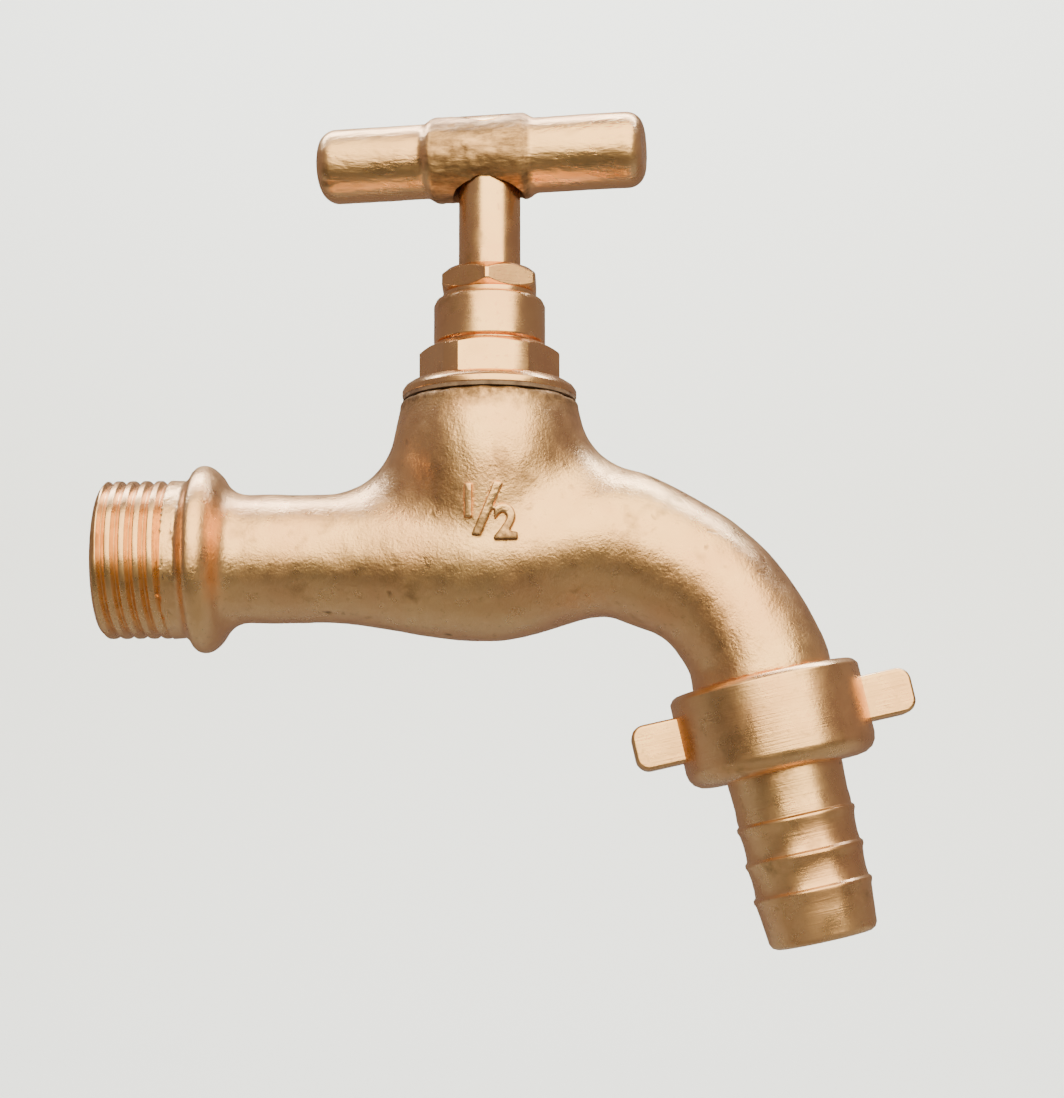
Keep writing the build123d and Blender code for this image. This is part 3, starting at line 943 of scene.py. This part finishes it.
def age_skin(bm):
    """Makes the casting slightly uneven, but calm where the machined threads begin."""
    bm.normal_update()
    for vert in bm.verts:
        place = vert.co
        wave = noise.fractal(place / (9.0 * MM), 1.0, 2.0, 2) * 0.10
        small = noise.fractal(place / (2.2 * MM), 0.9, 2.0, 3) * 0.035
        from_nose = (NOSE - place).dot(NOSE_DOWN) / MM
        from_inlet = place.x / MM - CUT_X
        calm = min(1.0, max(0.0, from_nose / 2)) * min(1.0, max(0.0, from_inlet / 2))
        rim = max(0.0, 1 - (NECK_TOP - place.z / MM) / RIM_DEPTH)
        vert.co -= vert.normal * (SKIN_SINK + wave + small) * MM * calm * (1 - rim)
        if rim > 0 and (place.xy - STEM.xy).length > RIM_INNER_R * MM:
            worn = noise.noise(Vector((place.x, place.y, 0)) / (2.6 * MM)) + 0.35
            vert.co.z -= max(0.0, worn) * RIM_WEAR * MM * rim


bm = casting_blank()
shape_collar(bm)
age_skin(bm)
casting = finish_piece(
    bm, "body_casting", Matrix(), "body", CAST_BRASS, ("tap_body",)
)

# %% [markdown]
# **Inlet thread.** A half-inch pipe thread screws into the wall fitting: 14 threads to the inch, a
# 55 degree form. Its crests are broad and worn, and the last turn fades out into a rough band.

# %% Inlet thread
THREAD_MAJOR = 10.47
THREAD_PITCH = 1.814
INLET_DEPTH = 0.62
INLET_BORE = 6.5
SLEEVE_LAP = 0.9

bm = threaded_sleeve(
    THREAD_MAJOR, INLET_DEPTH, THREAD_PITCH, start=0.0, end=CUT_X + SLEEVE_LAP - INLET_END,
    bore=INLET_BORE, lead=0.6, runout=1.2, valley=0.10, crest=0.38
)
moved(bm, 0, 0, INLET_END)
finish_piece(bm, "inlet_thread", INLET_PLACE, "body", THREAD_BRASS)

# %% [markdown]
# **Nose thread.** The spout ends in the same thread, under the union nut. It is only seen when the
# nut backs off, but then it must be a real thread.

# %% Nose thread
NOSE_LENGTH = 6.9
NOSE_DEPTH = 1.1
NOSE_BORE = 6.6

bm = threaded_sleeve(
    THREAD_MAJOR, NOSE_DEPTH, THREAD_PITCH, start=0.0, end=NOSE_LENGTH - SLEEVE_LAP,
    bore=NOSE_BORE, lead=0.8, runout=1.8
)
turned(bm, 180, "X")
moved(bm, 0, 0, NOSE_LENGTH)
finish_piece(bm, "nose_thread", NOSE_PLACE, "body", NOSE_BRASS)

# %% [markdown]
# **Size mark.** The tap's size is cast in relief on the front of the body. The figures are laid on
# the casting by dropping each point onto its surface, and relaxed until they are as round as sand
# would leave them.

# %% Size mark
MARK_X = 40.6
MARK_Z = 4.7
MARK_GRID = 0.11
MARK_RISE = 0.85
MARK_SUNK = 0.4
STROKE_GROWTH = 0.29
# each figure with its height, its place from the mark's middle, and its lean in degrees
FIGURES = (("1", 5.7, -2.4, 0.8, 0.0), ("/", 9.4, 0.0, -0.4, 8.0), ("2", 5.9, 2.4, -1.95, 0.0))


def flat_figure(letter, size, x, z, lean):
    """One flat figure as a mesh, upright on the XY plane."""
    curve = bpy.data.curves.new("figure", "FONT")
    curve.body = letter
    curve.align_x = "CENTER"
    curve.align_y = "CENTER"
    curve.size = size * MM
    curve.offset = STROKE_GROWTH * MM
    text = bpy.data.objects.new("figure", curve)
    bpy.context.collection.objects.link(text)
    bpy.context.view_layer.update()
    flat = moved(turned(settled(text), -lean, "Z"), x, z, 0)
    mesh = bpy.data.meshes.new("figure")
    flat.to_mesh(mesh)
    flat.free()
    return mesh


def size_mark():
    """The raised 1/2: two figures and a slash, laid on the casting's front."""
    bm = bmesh.new()
    for figure in FIGURES:
        mesh = flat_figure(*figure)
        bm.from_mesh(mesh)
        bpy.data.meshes.remove(mesh)
    bmesh.ops.remove_doubles(bm, verts=bm.verts, dist=1e-6)
    bmesh.ops.dissolve_limit(
        bm, angle_limit=0.01, verts=bm.verts, edges=bm.edges, use_dissolve_boundaries=False
    )
    bm = relaxed(grown(bm, 1.0), MARK_GRID, turns=20)
    moved(turned(bm, 90, "X"), MARK_X, 0, MARK_Z)
    skin = BVHTree.FromObject(casting, bpy.context.evaluated_depsgraph_get())
    for vert in bm.verts:
        hit = skin.ray_cast(Vector((vert.co.x, -0.05, vert.co.z)), Vector((0, 1, 0)))[0]
        height = -vert.co.y / MM
        vert.co.y = hit.y - (height * (MARK_RISE + MARK_SUNK) - MARK_SUNK) * MM
    return roughen(bm, depth=0.03, size=0.8, seed=3.0)


finish_piece(size_mark(), "size_mark", Matrix(), "body", MARK_BRASS)

# %% [markdown]
# ## The stem column
# The bonnet is turned from hexagon bar. Its hexagon is the bar crossed with a coned envelope, which
# gives the curved chamfer lines on the flats, exactly as the lathe does.

# %% Bonnet
FLANGE_Z = high("bonnet_washer").z / MM
BONNET_FOOT = low("bonnet").z / MM
TOWER_TOP = high("bonnet").z / MM
HEX_Z = FLANGE_Z + 1.8
HEX_FLATS = 17.25
TOWER_Z = HEX_Z + 5.2
SPIGOT_R = 9.55
FLANGE_R = 11.6
TOWER_R = 7.45
UNDERCUT_R = 7.1
CORE_R = 8.0
BORE = 5.45
GLAND_R = 5.6
GLAND_FLOOR = TOWER_TOP - 5.0
PARTITION = GLAND_FLOOR - 2.15
STEM_HOLE = 4.255


def bonnet():
    """The spigot, flange and tower in one turning, joined to a chamfered hexagon."""
    core = soften(lathe([
        (BORE, BONNET_FOOT), (SPIGOT_R, BONNET_FOOT), (SPIGOT_R, FLANGE_Z), (FLANGE_R, FLANGE_Z),
        (FLANGE_R, FLANGE_Z + 0.75), (11.25, HEX_Z - 0.5), (10.5, HEX_Z), (9.25, HEX_Z),
        (9.25, HEX_Z + 0.2), (CORE_R, HEX_Z + 0.2), (CORE_R, TOWER_Z - 0.5),
        (UNDERCUT_R, TOWER_Z - 0.5), (UNDERCUT_R, TOWER_Z + 0.15), (TOWER_R, TOWER_Z + 0.45),
        (TOWER_R, TOWER_TOP - 1.1), (7.1, TOWER_TOP - 0.35), (6.35, TOWER_TOP),
        (GLAND_R, TOWER_TOP), (GLAND_R, GLAND_FLOOR), (STEM_HOLE, GLAND_FLOOR),
        (STEM_HOLE, PARTITION), (BORE, PARTITION),
    ]), 0.22, above=30)
    foot = HEX_Z + 0.05
    cone = lathe([
        (0, foot), (9.15, foot), (9.36, HEX_Z + 0.3), (9.36, TOWER_Z - 1.1),
        (7.4, TOWER_Z - 0.05), (7.2, TOWER_Z), (0, TOWER_Z),
    ])
    bar = hexagon(HEX_FLATS, foot, TOWER_Z, 0)
    head = soften(combine(bar, cone, "INTERSECT"), 0.3, above=24)
    hollow = lathe([(7.6, HEX_Z - 1), (7.6, TOWER_Z + 1), (0, TOWER_Z + 1), (0, HEX_Z - 1)])
    return combine(core, combine(head, hollow, "DIFFERENCE"), "UNION")


finish_piece(
    bonnet(), "bonnet_turned", STEM_PLACE, "body", STEM_BRASS, ("bonnet",)
)

# %% [markdown]
# **Gland nut.** It presses the packing onto the stem. Both ends of its hexagon are chamfered, and it
# stands on a small plain collar, so a bright ring shows under it.

# %% Gland nut
NUT_FOOT = low("gland_nut").z / MM
NUT_TOP = high("gland_nut").z / MM
NUT_HEX = TOWER_TOP + 0.5
NUT_FLATS = 12.36
NUT_SPIGOT_R = 5.52
NUT_COLLAR_R = 6.25


def gland_nut():
    """A spigot and a plain collar, joined to a hexagon that is chamfered at both ends."""
    core = soften(lathe([
        (STEM_HOLE, NUT_FOOT), (NUT_SPIGOT_R, NUT_FOOT), (NUT_SPIGOT_R, TOWER_TOP - 0.05),
        (NUT_COLLAR_R, TOWER_TOP - 0.05), (NUT_COLLAR_R, NUT_HEX + 0.1), (5.6, NUT_HEX + 0.1),
        (5.6, NUT_TOP - 0.3), (4.75, NUT_TOP - 0.3), (STEM_HOLE, NUT_TOP - 0.6),
    ]), 0.08, above=28)
    cone = lathe([
        (0, NUT_HEX), (5.9, NUT_HEX), (7.02, NUT_HEX + 0.85), (7.02, NUT_TOP - 1.1),
        (5.75, NUT_TOP), (0, NUT_TOP),
    ])
    head = combine(hexagon(NUT_FLATS, NUT_HEX, NUT_TOP, 30), cone, "INTERSECT")
    hollow = lathe([
        (5.0, NUT_HEX - 1), (5.0, NUT_TOP - 0.4), (5.4, NUT_TOP + 1), (0, NUT_TOP + 1),
        (0, NUT_HEX - 1),
    ])
    head = combine(soften(head, 0.16, above=24), hollow, "DIFFERENCE")
    return combine(core, head, "UNION")


finish_piece(
    gland_nut(), "gland_nut_turned", STEM_PLACE, "body", STEM_BRASS,
    ("gland_nut",)
)

# %% [markdown]
# **Spindle.** A plain stem above, and a coarse drive thread below that climbs in the bonnet as the
# handle turns. The jumper's pin sits loose in the socket at its foot.

# %% Spindle
SPINDLE_FOOT = low("spindle").z / MM
SPINDLE_TOP = high("spindle").z / MM
DRIVE_FOOT = SPINDLE_FOOT + 4.6
DRIVE_TOP = DRIVE_FOOT + 8.0
DRIVE_R = 5.38
DRIVE_DEPTH = 0.85
DRIVE_PITCH = 2.0
SOCKET_TOP = SPINDLE_FOOT + 7.13
FOOT_R = 4.6
SOCKET_R = 2.55
STEM_R = 4.15
CROWN_R = 5.76
PIN_R = 1.27
PIN_TIP = 3.4
PIN_TURN = -8.5
HANDLE_Z = (low("tee_handle").z + high("tee_handle").z) / 2 / MM


def pin_hole(start):
    """A drill's path for the handle pin, through the origin from behind."""
    drill = lathe([(0, start), (PIN_R, start), (PIN_R, PIN_TIP), (0, PIN_TIP)], steps=32)
    return turned(turned(drill, 90, "X"), PIN_TURN, "Z")


def spindle():
    """The plain stem, its drive thread, and a top that is filed flush with the handle's boss."""
    core = soften(lathe([
        (SOCKET_R, SPINDLE_FOOT), (FOOT_R, SPINDLE_FOOT), (FOOT_R, DRIVE_FOOT + 0.1),
        (STEM_R, DRIVE_FOOT + 0.1), (STEM_R, SPINDLE_TOP + 0.6), (0, SPINDLE_TOP + 0.6),
        (0, SOCKET_TOP), (SOCKET_R, SOCKET_TOP),
    ]), 0.15, above=20)
    drive = threaded_sleeve(
        DRIVE_R, DRIVE_DEPTH, DRIVE_PITCH, DRIVE_FOOT, DRIVE_TOP, bore=3.4, lead=0.4, runout=0.5,
        valley=0.24, crest=0.24
    )
    whole = combine(core, drive, "UNION")
    whole = combine(whole, moved(pin_hole(-6.3), 0, 0, HANDLE_Z), "DIFFERENCE")
    crown = lathe([(0, -9), (CROWN_R, -9), (CROWN_R, 9), (0, 9)])
    moved(turned(turned(crown, 90, "Y"), PIN_TURN, "Z"), 0, 0, HANDLE_Z)
    shank = lathe([(0, 0), (9, 0), (9, HANDLE_Z), (0, HANDLE_Z)])
    return combine(whole, combine(crown, shank, "UNION"), "INTERSECT")


finish_piece(
    spindle(), "spindle_turned", STEM_PLACE, "spindle_group", STEM_BRASS,
    ("spindle",)
)

# %% [markdown]
# ## The tee handle
# The bar is cast, then polished only where hands reach, so the middle boss stays lumpy. The lathe
# outline has many rings, so that noise can dent the boss and leave the bar nearly straight.

# %% Tee handle
BAR = 44.5
BAR_R = 5.04
END_ROUND = 2.3
END_FACE_R = 2.5
BOSS = 13.6
BOSS_R = 5.77
BOSS_STEP = 1.6
RING_GAP = 0.45


def boss_share(along, step_start):
    """How much of the boss a place along the bar has, from 0 to 1."""
    return max(0.0, min(1.0, (step_start - abs(along)) / BOSS_STEP))


def handle_outline():
    """The bar's outline along its axis: flat ends, round edges, and a soft step to the boss."""
    half = BAR / 2
    arc = []
    for number in range(9):
        turn = number / 8 * math.pi / 2
        across = BAR_R - END_ROUND + END_ROUND * math.sin(turn)
        arc.append((across, half - END_ROUND + END_ROUND * math.cos(turn)))
    points = [(0, -half), (END_FACE_R, -half)] + [(r, -z) for r, z in arc]
    along = -half + END_ROUND + RING_GAP
    while along < half - END_ROUND:
        rise = boss_share(along, BOSS / 2 + BOSS_STEP / 2)
        smooth = rise * rise * (3 - 2 * rise)
        points.append((BAR_R + (BOSS_R - BAR_R) * smooth, along))
        along += RING_GAP
    return points + arc[::-1] + [(END_FACE_R, half), (0, half)]


def tee_handle():
    """The bar, dented at the boss, bored for the stem from below and drilled for its pin."""
    bar = lathe(handle_outline(), steps=96)
    roughen(bar, 0.11, 0.9, 5.0, lambda co: 0.10 + 0.90 * boss_share(co.z / MM, BOSS / 2))
    roughen(bar, 0.04, 6.0, 2.0)
    moved(turned(bar, 90, "Y"), HANDLE_SHIFT, 0, 0)
    turned(bar, PIN_TURN, "Z")
    stem_hole = lathe([
        (0, -9), (4.95, -9), (4.95, -5.0), (4.45, -4.2), (4.45, 1.0), (4.24, 1.4), (4.24, 9),
        (0, 9),
    ])
    bar = combine(bar, stem_hole, "DIFFERENCE")
    bar = combine(bar, pin_hole(-9), "DIFFERENCE")
    return moved(bar, 0, 0, HANDLE_Z)


finish_piece(
    tee_handle(), "tee_handle_cast", STEM_PLACE, "spindle_group", HANDLE_BRASS,
    ("tee_handle",)
)

# %% [markdown]
# ## The union
# The nut turns freely on the tail and draws it up to the nose. Two wing lugs let a hand or a
# spanner turn it.

# %% Union nut
UNION_R = 12.5
UNION_BORE = 10.53
LIP_R = 7.75
LUG_SIZE = (36.9, 5.45, 5.95)
LUG_HEIGHT = 6.1
LUG_ROUND = 1.75
LUG_CORE_R = 11.2


def lugs():
    """Two wings from one rounded slab, open in the middle."""
    slab = bmesh.new()
    bmesh.ops.create_cube(slab, size=1.0)
    bmesh.ops.scale(slab, verts=slab.verts, vec=Vector(LUG_SIZE) * MM)
    moved(slab, 0, 0, LUG_HEIGHT)
    wide = LUG_SIZE[1] * 0.9 * MM
    corners = [e for e in slab.edges if abs(e.verts[0].co.y - e.verts[1].co.y) > wide]
    round_edges(slab, corners, LUG_ROUND, segments=10)
    soften(slab, 0.5, above=60)
    middle = lathe([(0, -2), (LUG_CORE_R, -2), (LUG_CORE_R, 14), (0, 14)])
    return combine(slab, middle, "DIFFERENCE")


def union_nut():
    """A ring with a lip at its foot that holds the tail, and the lugs."""
    shell = soften(lathe([
        (UNION_BORE, 0.55), (11.7, 0.55), (12.05, 0.75), (UNION_R, 1.3), (UNION_R, 10.5),
        (12.3, 11.4), (11.8, 12.15), (10.9, 12.7), (9.9, 12.88), (LIP_R, 12.88), (LIP_R, 10.7),
        (UNION_BORE, 10.7),
    ]), 0.12, above=34)
    return combine(shell, lugs(), "UNION")


finish_piece(
    union_nut(), "union_nut_turned", NOSE_PLACE, "nut_group", NOSE_BRASS,
    ("union_nut",)
)

# %% [markdown]
# **Hose tail.** Its barbs slope away from the nut and drop sharply behind each crest, so that a hose
# slides on and grips. The tip is rounded so it starts easily.

# %% Hose tail
TAIL_BORE = 5.0
FLANGE_FOOT = 8.7
TAIL_FLANGE_R = 10.08
BARBS = 3
FIRST_BARB = 18.9
BARB_PITCH = 4.65
BARB_R = 7.76
TIP = 34.86


def hose_tail():
    """The flange inside the nut, three barbs and a rounded tip."""
    corners = [
        (TAIL_BORE, FLANGE_FOOT), (TAIL_FLANGE_R, FLANGE_FOOT), (TAIL_FLANGE_R, 10.66),
        (7.58, 10.66), (7.58, 13.4), (7.5, 14.6), (7.42, 16.6), (7.5, 18.0),
    ]
    for number in range(BARBS):
        crest = FIRST_BARB + number * BARB_PITCH
        corners += [(7.44, crest - 0.32), (BARB_R, crest), (BARB_R, crest + 0.42)]
        corners.append((7.56, crest + 0.85))
        if number < BARBS - 1:
            corners += [(7.40, crest + 2.0), (7.36, crest + 3.4)]
    corners += [
        (7.38, 30.6), (7.05, 34.0), (6.75, 34.55), (6.2, TIP), (5.55, TIP), (TAIL_BORE, 34.5)
    ]
    return soften(lathe(corners), 0.06, above=25)


finish_piece(
    hose_tail(), "hose_tail_turned", NOSE_PLACE, "tail_group", NOSE_BRASS,
    ("hose_tail",)
)

# %% [markdown]
# ## Hidden and soft pieces
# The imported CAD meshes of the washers, the packing and the jumper already have the right shape, so
# they only need their materials: pressed fibre, graphited cord, rubber and plain brass.

# %% Fibre, packing and rubber
def soft_material(name, colour, second, roughness, scale, bump, stretch=(1, 1, 1)):
    """A soft material whose colour wanders between two tones over a fine bumpy surface."""
    material, tree, shader, _, vector = new_material(name, stretch=stretch)
    skin = place_group(tree, MOULD_GRAIN, Vector=vector, Grain_Scale=scale, Ripple_Scale=scale / 4)
    tone = remap(tree, skin.outputs["Ripple"], 0.35, 0.65, 0.0, 1.0)
    tree.links.new(mix_colour(tree, tone, colour, second), shader.inputs["Base Color"])
    add_bump(tree, shader, skin.outputs["Height"], bump)
    shader.inputs["Roughness"].default_value = roughness
    return material


FIBRE = soft_material(
    "pressed_fibre", (0.16, 0.10, 0.07, 1), (0.09, 0.05, 0.035, 1), roughness=0.7, scale=3000,
    bump=0.00006
)
PACKING = soft_material(
    "graphited_cord", (0.05, 0.05, 0.05, 1), (0.12, 0.11, 0.10, 1), roughness=0.6, scale=2000,
    bump=0.0001, stretch=(1, 1, 2)
)
RUBBER = soft_material(
    "nitrile_rubber", (0.02, 0.02, 0.021, 1), (0.035, 0.034, 0.033, 1), roughness=0.55,
    scale=2500, bump=0.00003
)
KEPT_NODES = {
    "bonnet_washer": FIBRE,
    "gland_packing": PACKING,
    "gland_follower": STEM_BRASS,
    "jumper": STEM_BRASS,
    "seat_washer": RUBBER,
    "jumper_nut": STEM_BRASS,
    "union_washer": RUBBER,
    "handle_pin": STEM_BRASS,
}

for node, material in KEPT_NODES.items():
    mesh = frame["nodes"][node].data
    mesh.materials.clear()
    mesh.materials.append(material)
    print(node, "wears", material.name)

# %% [markdown]
# ## Comparing sizes
# The finished tap must stay inside the CAD model's box. The print shows, in millimetres, how far the
# new box's low and high corners lie from the CAD box's.

# %% Sizes
new_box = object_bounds()
for label, first, second in zip(("low", "high"), cad_box, new_box):
    print(label, [round((b - a) / MM, 3) for a, b in zip(first, second)])
